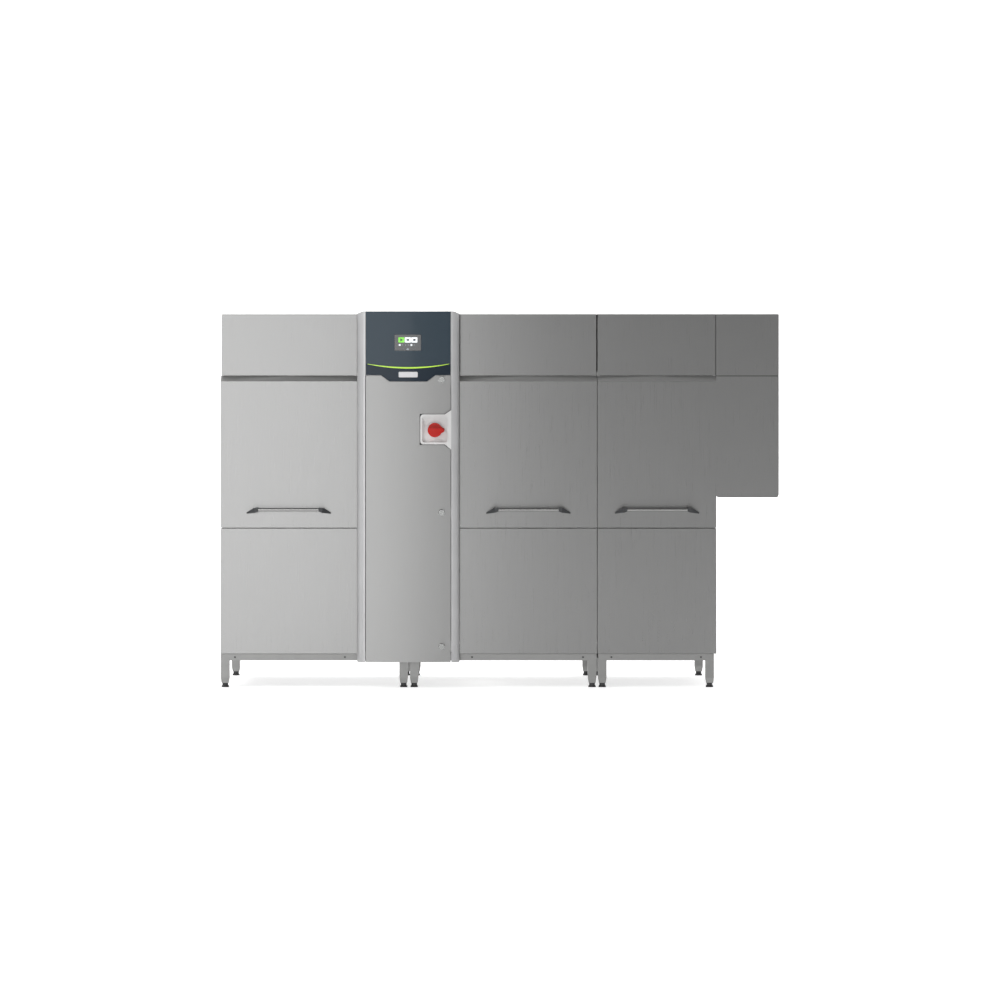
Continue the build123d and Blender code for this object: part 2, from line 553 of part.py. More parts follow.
# Dryer blower, impeller and air nozzle
shell = rod_z(CHAMBER_Z1, 1640, FAN_X, FAN_Y, 112) - rod_z(1504, 1634, FAN_X, FAN_Y, 106)
shell -= rod_z(1490, 1510, FAN_X, FAN_Y, 60)
shell -= rod_z(1620, 1660, FAN_X, FAN_Y, 8.05)
fan_motor = rod_z(1640, 1750, FAN_X, FAN_Y, 60) - rod_z(1630, 1680, FAN_X, FAN_Y, 8.05)
nozzle = [
    slab(815, 985, -140, -138, 1432, 1498),
    slab(815, 985, 158, 160, 1432, 1498),
    slab(815, 817, -138, 158, 1432, 1498),
    slab(983, 985, -138, 158, 1432, 1498),
]
air_heater = []
for k in range(4):
    air_heater.append(rod_y(-138, 158, 840 + k * 40, 1462, 6))
save("dryer_blower", shell, fan_motor, *nozzle, *air_heater)
wheel = rod_z(1512, 1515, FAN_X, FAN_Y, 92) - rod_z(1500, 1520, FAN_X, FAN_Y, 55)
wheel += rod_z(1612, 1616, FAN_X, FAN_Y, 92)
for k in range(12):
    blade = slab(FAN_X + 68, FAN_X + 90, FAN_Y - 1.5, FAN_Y + 1.5, 1513, 1614)
    wheel += Pos(FAN_X, FAN_Y, 0) * Rot(0, 0, k * 30) * Pos(-FAN_X, -FAN_Y, 0) * blade
wheel += rod_z(1600, 1675, FAN_X, FAN_Y, 8)
wheel += rod_z(1585, 1613, FAN_X, FAN_Y, 20)
save("blower_wheel", wheel)

# Splash curtains on fixed rods
rods = []
for name, xc in CURTAIN_X.items():
    rod_y0, rod_y1 = ROD_ENDS.get(name, (MOUTH_Y0, MOUTH_Y1))
    rods.append(rod_y(rod_y0, rod_y1, xc, CURTAIN_ROD_Z, CURTAIN_ROD_R))
    flap = slab(xc - 2, xc + 2, -257, 285, CURTAIN_BOTTOM_Z, CURTAIN_ROD_Z)
    flap += rod_y(-257, 285, xc, CURTAIN_ROD_Z, 6.5)
    flap -= rod_y(-270, 300, xc, CURTAIN_ROD_Z, CURTAIN_ROD_R + 0.05)
    save(f"curtain_{name}", flap)
save("curtain_rods", *rods)

# Service connections under the rear of the wash module
drain = rod_z(DRAIN_Z0, WASH_TANK_Z, -530, 240, 25)
drain -= rod_z(DRAIN_Z0 - 10, WASH_TANK_Z + 10, -530, 240, 22)
inlet = rod_z(INLET_Z0, RAIL_Z1, -575, 30, 13.2) + rod_z(RAIL_Z1, 172, -575, 30, 12)
gland = rod_z(120, RAIL_Z1, -530, 30, 16)
bracket = slab(-604, -500, 0, 130, RAIL_Z1, RAIL_Z1 + 4)
bracket -= rod_z(150, 170, -575, 30, 12)
nut = rod_z(RAIL_Z1 + 4, 172, -575, 30, 20) - rod_z(150, 175, -575, 30, 12)
save("service_connections", drain, inlet, gland, bracket, nut)


# Control column
def bowed_plate(half, thickness, z0, z1, mid=COLUMN_MID, proud=0.0):
    ya = CAB_EDGE_Y - proud
    yb = CAB_FRONT_Y - proud
    front = ThreePointArc((mid - half, ya, z0), (mid, yb, z0), (mid + half, ya, z0))
    yc = ya + thickness
    back = ThreePointArc((mid + half, yc, z0), (mid, yb + thickness, z0), (mid - half, yc, z0))
    left = Line((mid - half, yc, z0), (mid - half, ya, z0))
    right = Line((mid + half, ya, z0), (mid + half, yc, z0))
    return extrude(make_face([front, right, back, left]), amount=z1 - z0, dir=(0, 0, 1))


inner_l = COLUMN_MID - TRIM_INNER
inner_r = COLUMN_MID + TRIM_INNER
px, py = CAB_PIVOT
top_in = 1770.0
body = [slab(COLUMN_X0 + 3, COLUMN_X1 - 3, -283.5, FRONT_WALL_Y, PANEL_Z0, 1772)]
body.append(slab(COLUMN_X0, COLUMN_X0 + 2, -342, FRONT_WALL_Y, PANEL_Z0, 1772))
body.append(slab(COLUMN_X1 - 2, COLUMN_X1, -342, FRONT_WALL_Y, PANEL_Z0, 1772))
body.append(slab(inner_l - 2, inner_l, -342, -283.5, PANEL_Z0, top_in))
body.append(slab(inner_r, inner_r + 2, -342, -283.5, PANEL_Z0, top_in))
body.append(slab(inner_l, inner_r, -400, -283.5, PANEL_Z0, PANEL_Z0 + 2))
body.append(slab(inner_l, inner_r, -403, -283.5, 1480, 1482))
cap = prism_y(
    [
        (COLUMN_X0, 1772),
        (COLUMN_X0, 1775),
        (COLUMN_X0 + 26, COLUMN_TOP_Z),
        (COLUMN_X1 - 26, COLUMN_TOP_Z),
        (COLUMN_X1, 1775),
        (COLUMN_X1, 1772),
    ],
    -342,
    FRONT_WALL_Y,
)
cap += slab(inner_l, inner_r, -403, -342, 1772, COLUMN_TOP_Z)
body.append(cap)



# Section of a curved trim, inset from its outer surface by a wall thickness
def trim_face(side, inset, z):
    a = COLUMN_MID + side * (COLUMN_MID - COLUMN_X0 - inset)
    b = COLUMN_MID + side * (TRIM_INNER + inset)
    back_y = TRIM_BACK_Y + inset
    front_y = TRIM_FRONT_Y + inset
    middle = (a - side * (10 - inset * 0.2), -404 + inset * 0.9, z)
    knee = ThreePointArc((a, TRIM_KNEE_Y, z), middle, (b, front_y, z))
    lines = [Line((a, back_y, z), (a, TRIM_KNEE_Y, z)), knee]
    lines += [Line((b, front_y, z), (b, back_y, z)), Line((b, back_y, z), (a, back_y, z))]
    return make_face(lines)


trims = []
for side in (-1, 1):
    xo = COLUMN_MID + side * (COLUMN_MID - COLUMN_X0)
    trim_height = COLUMN_TOP_Z - COLUMN_Z0
    solid = extrude(trim_face(side, 0.0, COLUMN_Z0), amount=trim_height, dir=(0, 0, 1))
    bore = extrude(trim_face(side, TRIM_WALL, COLUMN_Z0 - 1), amount=trim_height - 15, dir=(0, 0, 1))
    solid -= bore
    cut_x0 = xo + side * 2
    cut_x1 = xo - side * 26
    solid -= prism_y([(cut_x0, 1773), (cut_x1, COLUMN_TOP_Z), (cut_x1, 1800), (cut_x0, 1800)], -430, -340)
    trims.append(solid)
save("column_trims", *trims)

# Cabinet door with bowed front, edge flanges and pivot blocks
door = bowed_plate(CAB_HALF, 1.5, COLUMN_Z0 + 1, CAB_TOP_Z)
cab_l = COLUMN_MID - CAB_HALF
cab_r = COLUMN_MID + CAB_HALF
flange_l = slab(cab_l, cab_l + 1.2, CAB_EDGE_Y + 1.4, -397, 195, 1435)
flange_r = slab(cab_r - 1.2, cab_r, CAB_EDGE_Y + 1.4, -402, COLUMN_Z0 + 1, CAB_TOP_Z)
door += flange_l
door += flange_r
for zc, sign in ((170.5, 1), (1461.5, -1)):
    z0, z1 = sorted((zc, zc + sign * 26))
    block = slab(cab_l, cab_l + 8, CAB_EDGE_Y + 1.4, -403, z0, z1)
    block -= rod_z(zc - 20, zc + 20, px, py, 2.05)
    door += block
notch = [(-380.5, 1151.5), (-380.5, 1298.5), (-264, 1298.5), (-230, 1320.5), (-230, 1125.5), (-264, 1151.5)]
door -= prism_y(notch, -430, -390)
tab_gap = [(-568, 1484), (-525, 1451), (-345, 1451), (-302, 1484)]
door -= prism_y(tab_gap, -430, -390)
for z in LATCH_LEVELS.values():
    door -= rod_y(-430, -390, LATCH_X, z, 8.05)
save("cabinet_door", door)

fittings = []
for z0, z1, z_pin in ((164.0, 170.0, 188.0), (1462.0, 1468.0, 1444.0)):
    plate = slab(px - 1.2, px + 4, py - 1.8, -398, z0, z1)
    plate += slab(inner_l, px + 4, -400, -392, z0, z1)
    plate += rod_z(min(z0, z_pin), max(z1, z_pin), px, py, 2.0)
    fittings.append(plate)
for z in LATCH_LEVELS.values():
    keeper = slab(-256, inner_r, -399.5, -397.5, z - 22, min(z + 22, 1477))
    keeper += slab(inner_r - 3, inner_r, -399.5, -380, z - 22, min(z + 22, 1477))
    fittings.append(keeper)

for name, z in LATCH_LEVELS.items():
    front = -420 + 8 * ((LATCH_X - COLUMN_MID) / CAB_HALF) ** 2
    head = rod_y(front - 5.5, front - 1.3, LATCH_X, z, 15.5)
    head = fillet(head.edges().group_by(Axis.Y)[0], 1.5)
    head -= slab(LATCH_X - 10, LATCH_X + 10, front - 6, front - 4.2, z - 1.5, z + 1.5)
    head += rod_y(front - 1.3, -393, LATCH_X, z, 8)
    cam = slab(LATCH_X - 6, LATCH_X + 6, -396.5, -393, z - 35, z + 8)
    save(f"latch_{name}", head + cam)

# Control glass, display and blank badge
glass = bowed_plate(CAB_HALF, 4.0, GLASS_Z0, GLASS_Z1)
tab = bowed_plate(CAB_HALF, 4.0, 1453, GLASS_Z0 + 1)
tab &= prism_y([(-566, 1483), (-523, 1453), (-347, 1453), (-304, 1483)], -430, -400)
glass += tab
glass -= slab(-500, -374, -430, -400, 1597, 1673)
back_frame = slab(inner_l, inner_r, -408, -404, GLASS_Z0, 1770)
back_frame -= slab(-505, -369, -420, -400, 1592, 1678)
save("control_glass", glass)
save("column_body", *body, *fittings, back_frame)
screen = slab(-499.5, -374.5, -420.4, -402, 1597.5, 1672.5)
save("display_unit", screen)
badge = slab(-480, -390, -421.4, -419.4, 1471, 1497)
badge = fillet(badge.edges().filter_by(Axis.Y), 5)
badge -= bowed_plate(CAB_HALF, 4.0, 1460, 1510, proud=0.02)
save("badge_plate", badge)

# Main switch: escutcheon, switch block and knob
outline = [(-378, 1154), (-378, 1296), (-262, 1296), (inner_r, 1317), (inner_r, 1129), (-262, 1154)]
escutcheon = prism_y(outline, -419, -399)
left_edges = escutcheon.edges().filter_by(Axis.Y).sort_by(Axis.X)[:2]
escutcheon = fillet(left_edges, 14)
recess = slab(-368, -250, -430, -407, 1164, 1286)
recess = fillet(recess.edges().filter_by(Axis.Y), 12)
escutcheon -= recess
escutcheon -= rod_y(-430, -390, SWITCH_X, SWITCH_Z, 5.05)
save("switch_escutcheon", escutcheon)
knob = rod_y(-428, -409, SWITCH_X, SWITCH_Z, 34)
nose = [
    (SWITCH_X, SWITCH_Z + 33),
    (SWITCH_X + 45, SWITCH_Z + 7),
    (SWITCH_X + 45, SWITCH_Z - 7),
    (SWITCH_X, SWITCH_Z - 33),
]
knob += prism_y(nose, -428, -409)
grip = [
    (SWITCH_X - 30, SWITCH_Z + 9),
    (SWITCH_X + 30, SWITCH_Z + 9),
    (SWITCH_X + 43, SWITCH_Z),
    (SWITCH_X + 30, SWITCH_Z - 9),
    (SWITCH_X - 30, SWITCH_Z - 9),
]
knob += prism_y(grip, -450, -427)
knob += rod_y(-410, -385, SWITCH_X, SWITCH_Z, 5)
save("switch_knob", knob)

switch_block = slab(-340, -278, -399, -330, 1191, 1253)
switch_block -= rod_y(-400, -380, SWITCH_X, SWITCH_Z, 5.05)

# Switchgear on a mounting plate
plate = slab(-620, -250, -286, -283.5, 220, 1440)
gear = [plate, switch_block]
for k in range(5):
    xa = -610 + k * 70
    gear.append(slab(xa, xa + 55, -366, -286, 880, 965))
    gear.append(slab(xa, xa + 30, -350, -286, 700, 790))
for k in range(18):
    xa = -610 + k * 19
    gear.append(slab(xa, xa + 12, -330, -286, 300, 350))
gear.append(slab(-610, -460, -340, -286, 1040, 1220))
gear.append(slab(-610, -270, -346, -286, 560, 610))
save("switchgear", *gear)
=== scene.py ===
import json
import math

import bmesh
import bpy
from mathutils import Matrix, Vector


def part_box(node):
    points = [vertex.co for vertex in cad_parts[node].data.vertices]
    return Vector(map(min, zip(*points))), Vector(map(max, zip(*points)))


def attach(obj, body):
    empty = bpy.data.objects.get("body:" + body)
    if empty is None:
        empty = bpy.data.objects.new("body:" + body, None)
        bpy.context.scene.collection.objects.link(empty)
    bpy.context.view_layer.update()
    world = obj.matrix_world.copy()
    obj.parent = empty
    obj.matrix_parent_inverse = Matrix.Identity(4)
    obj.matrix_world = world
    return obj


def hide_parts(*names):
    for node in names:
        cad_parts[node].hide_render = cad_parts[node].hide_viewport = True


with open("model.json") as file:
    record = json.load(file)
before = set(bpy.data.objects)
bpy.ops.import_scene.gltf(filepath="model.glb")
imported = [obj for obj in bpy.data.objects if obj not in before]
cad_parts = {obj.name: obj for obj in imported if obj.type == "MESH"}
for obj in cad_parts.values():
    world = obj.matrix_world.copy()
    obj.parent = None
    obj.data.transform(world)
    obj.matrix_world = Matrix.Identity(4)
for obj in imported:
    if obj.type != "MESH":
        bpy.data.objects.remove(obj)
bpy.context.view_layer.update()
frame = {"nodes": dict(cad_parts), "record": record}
nodes = frame["nodes"]

# Sizes shared with the CAD frame, metres
COLUMN_MID = -0.435
CAB_HALF = 0.2005
BOW_EDGE_Y = -0.412
BOW_FRONT_Y = -0.420
ARC_MID_X = -0.434
ARC_LOW_Z = 1.516
ARC_RISE = 0.0185
ARC_HALF = 0.190
DISPLAY_FRONT_Y = -0.4204
HOOD_SEAM_Z = 1.4809
HOOD_STRIP_X1 = 1.3249
DOOR_CAP_Z = 1.4545
HANDLE_BAR_HALF = 0.1425
CURTAIN_ROD_Z = 1.412
CURTAIN_CLEARANCE = 0.002
CURTAIN_STRIPS = 9
CURTAIN_ROWS = 16
CURTAIN_COLUMNS = 5
CURTAIN_THICKNESS = 0.003
STRIP_HALF_GAP = 0.0006
HEM_RADII = (0.0046, 0.0062)
HEM_SEGMENTS = 20
ARC_STEPS = 48
ARC_OVERRUN = 0.003
ARC_HALF_WIDTH = 0.0034
ARC_TAPER = 0.72
ARC_FRONT_GAP = 0.0005
ARC_BACK_GAP = 0.0003


def bow_y(x):
    u = (x - COLUMN_MID) / CAB_HALF
    return BOW_FRONT_Y + (BOW_EDGE_Y - BOW_FRONT_Y) * u * u


# ---------------------------------------------------------------- materials
def new_material(name):
    mat = bpy.data.materials.new(name)
    mat.use_nodes = True
    tree = mat.node_tree
    return mat, tree, tree.nodes["Principled BSDF"]


def math_node(tree, operation, a, b=None):
    node = tree.nodes.new("ShaderNodeMath")
    node.operation = operation
    for socket, value in zip(node.inputs, (a, b)):
        if value is None:
            continue
        if isinstance(value, (int, float)):
            socket.default_value = value
        else:
            tree.links.new(value, socket)
    return node.outputs[0]


def coords(tree, scale=(1, 1, 1)):
    tex = tree.nodes.new("ShaderNodeTexCoord")
    mapping = tree.nodes.new("ShaderNodeMapping")
    mapping.inputs["Scale"].default_value = scale
    tree.links.new(tex.outputs["Object"], mapping.inputs["Vector"])
    return mapping.outputs["Vector"]


def noise(tree, scale, size=1.0, detail=3.0, rough=0.6):
    node = tree.nodes.new("ShaderNodeTexNoise")
    node.inputs["Scale"].default_value = size
    node.inputs["Detail"].default_value = detail
    node.inputs["Roughness"].default_value = rough
    tree.links.new(coords(tree, scale), node.inputs["Vector"])
    return node.outputs["Fac"]


def remap(tree, value, lo, hi, in_lo=0.3, in_hi=0.7):
    node = tree.nodes.new("ShaderNodeMapRange")
    node.inputs["From Min"].default_value = in_lo
    node.inputs["From Max"].default_value = in_hi
    node.inputs["To Min"].default_value = lo
    node.inputs["To Max"].default_value = hi
    tree.links.new(value, node.inputs["Value"])
    return node.outputs["Result"]


def mix_colour(tree, factor, a, b):
    node = tree.nodes.new("ShaderNodeMix")
    node.data_type = "RGBA"
    for socket, value in ((node.inputs[0], factor), (node.inputs[6], a), (node.inputs[7], b)):
        if isinstance(value, (int, float)):
            socket.default_value = value
        elif isinstance(value, tuple):
            socket.default_value = (*value, 1.0)
        else:
            tree.links.new(value, socket)
    return node.outputs[2]


def bump(tree, bsdf, height, strength, distance):
    node = tree.nodes.new("ShaderNodeBump")
    node.inputs["Strength"].default_value = strength
    node.inputs["Distance"].default_value = distance
    tree.links.new(height, node.inputs["Height"])
    tree.links.new(node.outputs["Normal"], bsdf.inputs["Normal"])


def steel(
    name, colour, rough=(0.30, 0.42), grain=(700, 700, 5), contrast=0.06, strength=0.12, stretch=0.0
):
    """Brushed metal; grain scales the noise, stretch is the anisotropy of its highlights."""
    mat, tree, bsdf = new_material(name)
    bsdf.inputs["Metallic"].default_value = 1.0
    fine = noise(tree, grain, 1.0, 4.0, 0.65)
    cloud = noise(tree, (1.6, 1.6, 0.9), 1.0, 2.0, 0.5)
    dark = tuple(c * (1 - contrast) for c in colour)
    light = tuple(min(1.0, c * (1 + contrast)) for c in colour)
    first = mix_colour(tree, remap(tree, fine, 0, 1), dark, light)
    second = mix_colour(tree, remap(tree, cloud, 0, 0.25), first, tuple(c * 0.93 for c in colour))
    tree.links.new(second, bsdf.inputs["Base Color"])
    tree.links.new(remap(tree, fine, *rough), bsdf.inputs["Roughness"])
    bump(tree, bsdf, fine, strength, 0.0002)
    if stretch:
        bsdf.inputs["Anisotropic"].default_value = stretch
        tangent = tree.nodes.new("ShaderNodeTangent")
        tangent.direction_type = "RADIAL"
        tangent.axis = "Z"
        tree.links.new(tangent.outputs["Tangent"], bsdf.inputs["Tangent"])
        bsdf.inputs["Anisotropic Rotation"].default_value = 0.25
    return mat


def moulded(name, colour, rough=0.45, grain=900, strength=0.15, metallic=0.0, coat=0.0):
    mat, tree, bsdf = new_material(name)
    bsdf.inputs["Metallic"].default_value = metallic
    bsdf.inputs["Coat Weight"].default_value = coat
    fine = noise(tree, (grain, grain, grain), 1.0, 2.0, 0.5)
    cloud = noise(tree, (9, 9, 9), 1.0, 2.0, 0.5)
    tint = mix_colour(tree, remap(tree, cloud, 0, 1), tuple(c * 0.92 for c in colour), colour)
    tree.links.new(tint, bsdf.inputs["Base Color"])
    tree.links.new(remap(tree, fine, rough - 0.05, rough + 0.06), bsdf.inputs["Roughness"])
    bump(tree, bsdf, fine, strength, 0.0002)
    return mat


def handle_material(name, centre_x):
    """Brushed bar between dark end brackets."""
    mat, tree, bsdf = new_material(name)
    tex = tree.nodes.new("ShaderNodeTexCoord")
    sep = tree.nodes.new("ShaderNodeSeparateXYZ")
    tree.links.new(tex.outputs["Object"], sep.inputs[0])
    away = math_node(tree, "ABSOLUTE", math_node(tree, "SUBTRACT", sep.outputs["X"], centre_x))
    is_end = math_node(tree, "GREATER_THAN", away, HANDLE_BAR_HALF)
    fine = noise(tree, (6, 700, 700), 1.0, 3.0, 0.6)
    bar = mix_colour(tree, remap(tree, fine, 0, 1), (0.27, 0.27, 0.266), (0.33, 0.33, 0.325))
    tree.links.new(mix_colour(tree, is_end, bar, (0.035, 0.037, 0.04)), bsdf.inputs["Base Color"])
    tree.links.new(math_node(tree, "SUBTRACT", 1.0, is_end), bsdf.inputs["Metallic"])
    tree.links.new(remap(tree, is_end, 0.26, 0.42, 0, 1), bsdf.inputs["Roughness"])
    bump(tree, bsdf, fine, 0.08, 0.0002)
    return mat


def control_glass_material():
    """Slate back-painted glass, darker below the accent arc."""
    mat, tree, bsdf = new_material("control_glass_look")
    tex = tree.nodes.new("ShaderNodeTexCoord")
    sep = tree.nodes.new("ShaderNodeSeparateXYZ")
    tree.links.new(tex.outputs["Object"], sep.inputs[0])
    dx = math_node(tree, "SUBTRACT", sep.outputs["X"], ARC_MID_X)
    rise = math_node(tree, "MULTIPLY", math_node(tree, "MULTIPLY", dx, dx), ARC_RISE / ARC_HALF**2)
    arc_z = math_node(tree, "ADD", rise, ARC_LOW_Z)
    below = math_node(tree, "LESS_THAN", sep.outputs["Z"], arc_z)
    speck = noise(tree, (1400, 1400, 1400), 1.0, 1.0, 0.5)
    upper = mix_colour(tree, remap(tree, speck, 0, 1), (0.038, 0.056, 0.073), (0.045, 0.064, 0.082))
    lower = mix_colour(tree, remap(tree, speck, 0, 1), (0.014, 0.023, 0.035), (0.018, 0.029, 0.042))
    tree.links.new(mix_colour(tree, below, upper, lower), bsdf.inputs["Base Color"])
    bsdf.inputs["Roughness"].default_value = 0.30
    bsdf.inputs["Specular IOR Level"].default_value = 0.15
    bsdf.inputs["Coat Weight"].default_value = 0.08
    bsdf.inputs["Coat Roughness"].default_value = 0.08
    return mat


PANEL = (0.298, 0.298, 0.296)


def panel_steel(name):
    """Brushed sheet of the outer panels."""
    return steel(name, PANEL, (0.27, 0.31), contrast=0.03, strength=0.05, stretch=0.8)


def add_patch(mat, colour, *limits):
    """Give the area inside all the limits, each (axis, operation, metres), another colour."""
    tree = mat.node_tree
    bsdf = tree.nodes["Principled BSDF"]
    sheet_colour = bsdf.inputs["Base Color"].links[0].from_socket
    tex = tree.nodes.new("ShaderNodeTexCoord")
    sep = tree.nodes.new("ShaderNodeSeparateXYZ")
    tree.links.new(tex.outputs["Object"], sep.inputs[0])
    tests = [math_node(tree, operation, sep.outputs[axis], edge) for axis, operation, edge in limits]
    inside = tests[0]
    for test in tests[1:]:
        inside = math_node(tree, "MULTIPLY", inside, test)
    tree.links.new(mix_colour(tree, inside, sheet_colour, colour), bsdf.inputs["Base Color"])
    return mat


LOOKS = {
    "frame_steel": steel("frame_steel_look", (0.27, 0.27, 0.266), (0.34, 0.46), (60, 60, 60), 0.04),
    "foot_black": moulded("foot_look", (0.035, 0.035, 0.037), 0.5),
    "screw_dark": moulded("screw_look", (0.04, 0.04, 0.04), 0.4),
    "panel_steel": panel_steel("panel_steel_look"),
    "inner_steel": steel("inner_steel_look", (0.56, 0.56, 0.55), (0.30, 0.42), (5, 600, 600)),
    "trim_grey": moulded("trim_look", (0.54, 0.54, 0.545), 0.34, 700, 0.06, 0.30),
    "screen_black": moulded("screen_look", (0.012, 0.014, 0.017), 0.16, 300, 0.0, 0.0, 0.5),
    "badge_silver": steel("badge_look", (0.50, 0.50, 0.51), (0.34, 0.36), (20, 20, 20), 0.01, 0.01),
    "switch_grey": moulded("switch_grey_look", (0.68, 0.68, 0.675), 0.42),
    "switch_red": moulded("switch_red_look", (0.50, 0.014, 0.008), 0.34, 600, 0.08, 0.0, 0.05),
    "latch_steel": steel("latch_look", (0.27, 0.275, 0.27), (0.22, 0.30), (90, 90, 90)),
    "gear_plastic": moulded("switchgear_look", (0.18, 0.19, 0.20), 0.5),
    "motor_grey": moulded("motor_look", (0.16, 0.19, 0.22), 0.42, 500, 0.2),
    "wheel_metal": steel("wheel_look", (0.55, 0.56, 0.57), (0.3, 0.45), (80, 80, 80)),
    "drum_plastic": moulded("drum_look", (0.06, 0.06, 0.065), 0.5),
    "curtain_rubber": moulded("curtain_look", (0.045, 0.05, 0.055), 0.55, 400, 0.3),
    "glass_dark": control_glass_material(),
}
knob_shader = LOOKS["switch_red"].node_tree.nodes["Principled BSDF"]
knob_shader.inputs["Specular IOR Level"].default_value = 0.18


# Painted shadow: the backing strip in the gap between the hood sheets is coloured near-black so the gap
# reads as a shadow line
hood_seam_painted_shadow_look = add_patch(
    panel_steel("hood_seam_painted_shadow_look"),
    (0.02, 0.02, 0.02),
    ("Z", "LESS_THAN", HOOD_SEAM_Z),
    ("X", "LESS_THAN", HOOD_STRIP_X1),
)
# Painted light: the sloped cap along the top of each door is given a paler colour so it reads as lit
door_cap_painted_light_look = add_patch(panel_steel("door_cap_painted_light_look"), (0.58, 0.58, 0.575), ("Z", "GREATER_THAN", DOOR_CAP_Z))
cabinet_look = steel(
    "cabinet_look", (0.40, 0.40, 0.397), (0.44, 0.50), contrast=0.03, strength=0.05, stretch=0.6
)
NODE_LOOKS = {
    "hood_shell": hood_seam_painted_shadow_look,
    "door_wash": door_cap_painted_light_look,
    "door_rinse": door_cap_painted_light_look,
    "door_dryer": door_cap_painted_light_look,
    "cabinet_door": cabinet_look,
    # Holds the dryer end wall, which is an outer panel
    "bulkheads": LOOKS["panel_steel"],
}
slot_of = {row["node"]: row["material_slot"] for row in frame["record"]["subparts"]}
for node_name, obj in nodes.items():
    if node_name.startswith("handle_"):
        low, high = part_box(node_name)
        look = handle_material(node_name + "_look", (low[0] + high[0]) / 2)
    else:
        look = NODE_LOOKS.get(node_name, LOOKS[slot_of[node_name]])
    if not obj.material_slots:
        obj.data.materials.append(look)
    for slot in obj.material_slots:
        slot.material = look

# Softened sheet-metal edges
EDGE_RADII = {
    "door_": 0.0012,
    "lower_panel_": 0.001,
    "fascia_": 0.0005,
    "base_frame_": 0.0025,
    "hood_": 0.0005,
    "switch_knob": 0.004,
    "switch_escutcheon": 0.0012,
}
for node_name, obj in nodes.items():
    for prefix, width in EDGE_RADII.items():
        if node_name.startswith(prefix) and not node_name.startswith("door_guides"):
            mod = obj.modifiers.new("Edge", "BEVEL")
            mod.width = width
            mod.segments = 3
            mod.limit_method = "ANGLE"
            mod.angle_limit = math.radians(40)


# ---------------------------------------------------------------- extra pieces
def mesh_piece(name, vertices, faces, look, body):
    mesh = bpy.data.meshes.new(name)
    mesh.from_pydata(vertices, [], faces)
    mesh.update()
    obj = bpy.data.objects.new(name, mesh)
    bpy.context.scene.collection.objects.link(obj)
    mesh.materials.append(look)
    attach(obj, body)
    return obj


def extruded(name, outline, y_front, depth, look, body, slot):
    """A flat plate with an outline in x and z, its front face at y_front."""
    count = len(outline)
    fronts = [(x, y_front, z) for x, z in outline]
    vertices = fronts + [(x, y + depth, z) for x, y, z in fronts]
    faces = [tuple(range(count)), tuple(range(2 * count - 1, count - 1, -1))]
    for k in range(count):
        n = (k + 1) % count
        faces.append((n, k, k + count, n + count))
    obj = mesh_piece(name, vertices, faces, look, body)
    work = bmesh.new()
    work.from_mesh(obj.data)
    bmesh.ops.recalc_face_normals(work, faces=work.faces)
    work.to_mesh(obj.data)
    work.free()
    return obj


def rounded_rect(xc, zc, w, h, r, steps=5):
    points = []
    for cx, cz, start in ((1, 1, 0), (-1, 1, 90), (-1, -1, 180), (1, -1, 270)):
        for k in range(steps + 1):
            angle = math.radians(start + 90 * k / steps)
            x = xc + cx * (w / 2 - r) + r * math.cos(angle)
            z = zc + cz * (h / 2 - r) + r * math.sin(angle)
            points.append((x, z))
    return points


def glowing(name, colour, strength):
    mat, tree, bsdf = new_material(name)
    fine = noise(tree, (900, 900, 900), 1.0, 1.0, 0.5)
    tint = mix_colour(tree, remap(tree, fine, 0, 1), tuple(c * 0.93 for c in colour), colour)
    tree.links.new(tint, bsdf.inputs["Base Color"])
    bsdf.inputs["Roughness"].default_value = 0.3
    bsdf.inputs["Emission Color"].default_value = (*colour, 1.0)
    bsdf.inputs["Emission Strength"].default_value = strength
    return mat


# Lime accent arc printed on the control glass, with a painted glow on the print
verts = []
quads = []
for k in range(ARC_STEPS + 1):
    t = -1 + 2 * k / ARC_STEPS
    x = ARC_MID_X + t * (ARC_HALF + ARC_OVERRUN)
    z = ARC_LOW_Z + ARC_RISE * t * t
    half = ARC_HALF_WIDTH * (1 - ARC_TAPER * t * t)
    front = bow_y(x) - ARC_FRONT_GAP
    back = bow_y(x) + ARC_BACK_GAP
    verts += [(x, front, z - half), (x, front, z + half), (x, back, z + half), (x, back, z - half)]
for k in range(ARC_STEPS):
    a = 4 * k
    b = a + 4
    for i in range(4):
        j = (i + 1) % 4
        quads.append((a + i, b + i, b + j, a + j))
quads.append((0, 1, 2, 3))
last = 4 * ARC_STEPS
quads.append((last + 3, last + 2, last + 1, last))
# Painted glow: the printed arc emits light though it is no lamp
lime = glowing("accent_arc_painted_glow_look", (0.42, 0.68, 0.05), 0.35)
mesh_piece("accent_arc", verts, quads, lime, "machine")

# Touch-screen graphics: generic button, tiles and indicator dots
DX, DZ = -0.437, 1.635
green = glowing("screen_green_look", (0.20, 0.62, 0.07), 0.5)
white = glowing("screen_white_look", (0.80, 0.84, 0.86), 0.5)
slate = moulded("screen_mark_look", (0.04, 0.05, 0.06), 0.4)
dot_grey = glowing("screen_dot_look", (0.30, 0.33, 0.36), 0.3)
SCREEN = ("machine", "screen_black")
PRINT_Y = DISPLAY_FRONT_Y - 0.0004
MARK_Y = DISPLAY_FRONT_Y - 0.0006
ROW_Z = DZ + 0.013
DOT_ROW_Z = DZ - 0.011
TILE_H = 0.025
TILE_W = 0.029
button = rounded_rect(DX - 0.030, ROW_Z, TILE_W, TILE_H, 0.003)
extruded("screen_button", button, PRINT_Y, 0.0005, green, *SCREEN)
arrow = [(DX - 0.035, ROW_Z - 0.007), (DX - 0.023, ROW_Z), (DX - 0.035, ROW_Z + 0.007)]
extruded("screen_arrow", arrow, MARK_Y, 0.0004, slate, *SCREEN)
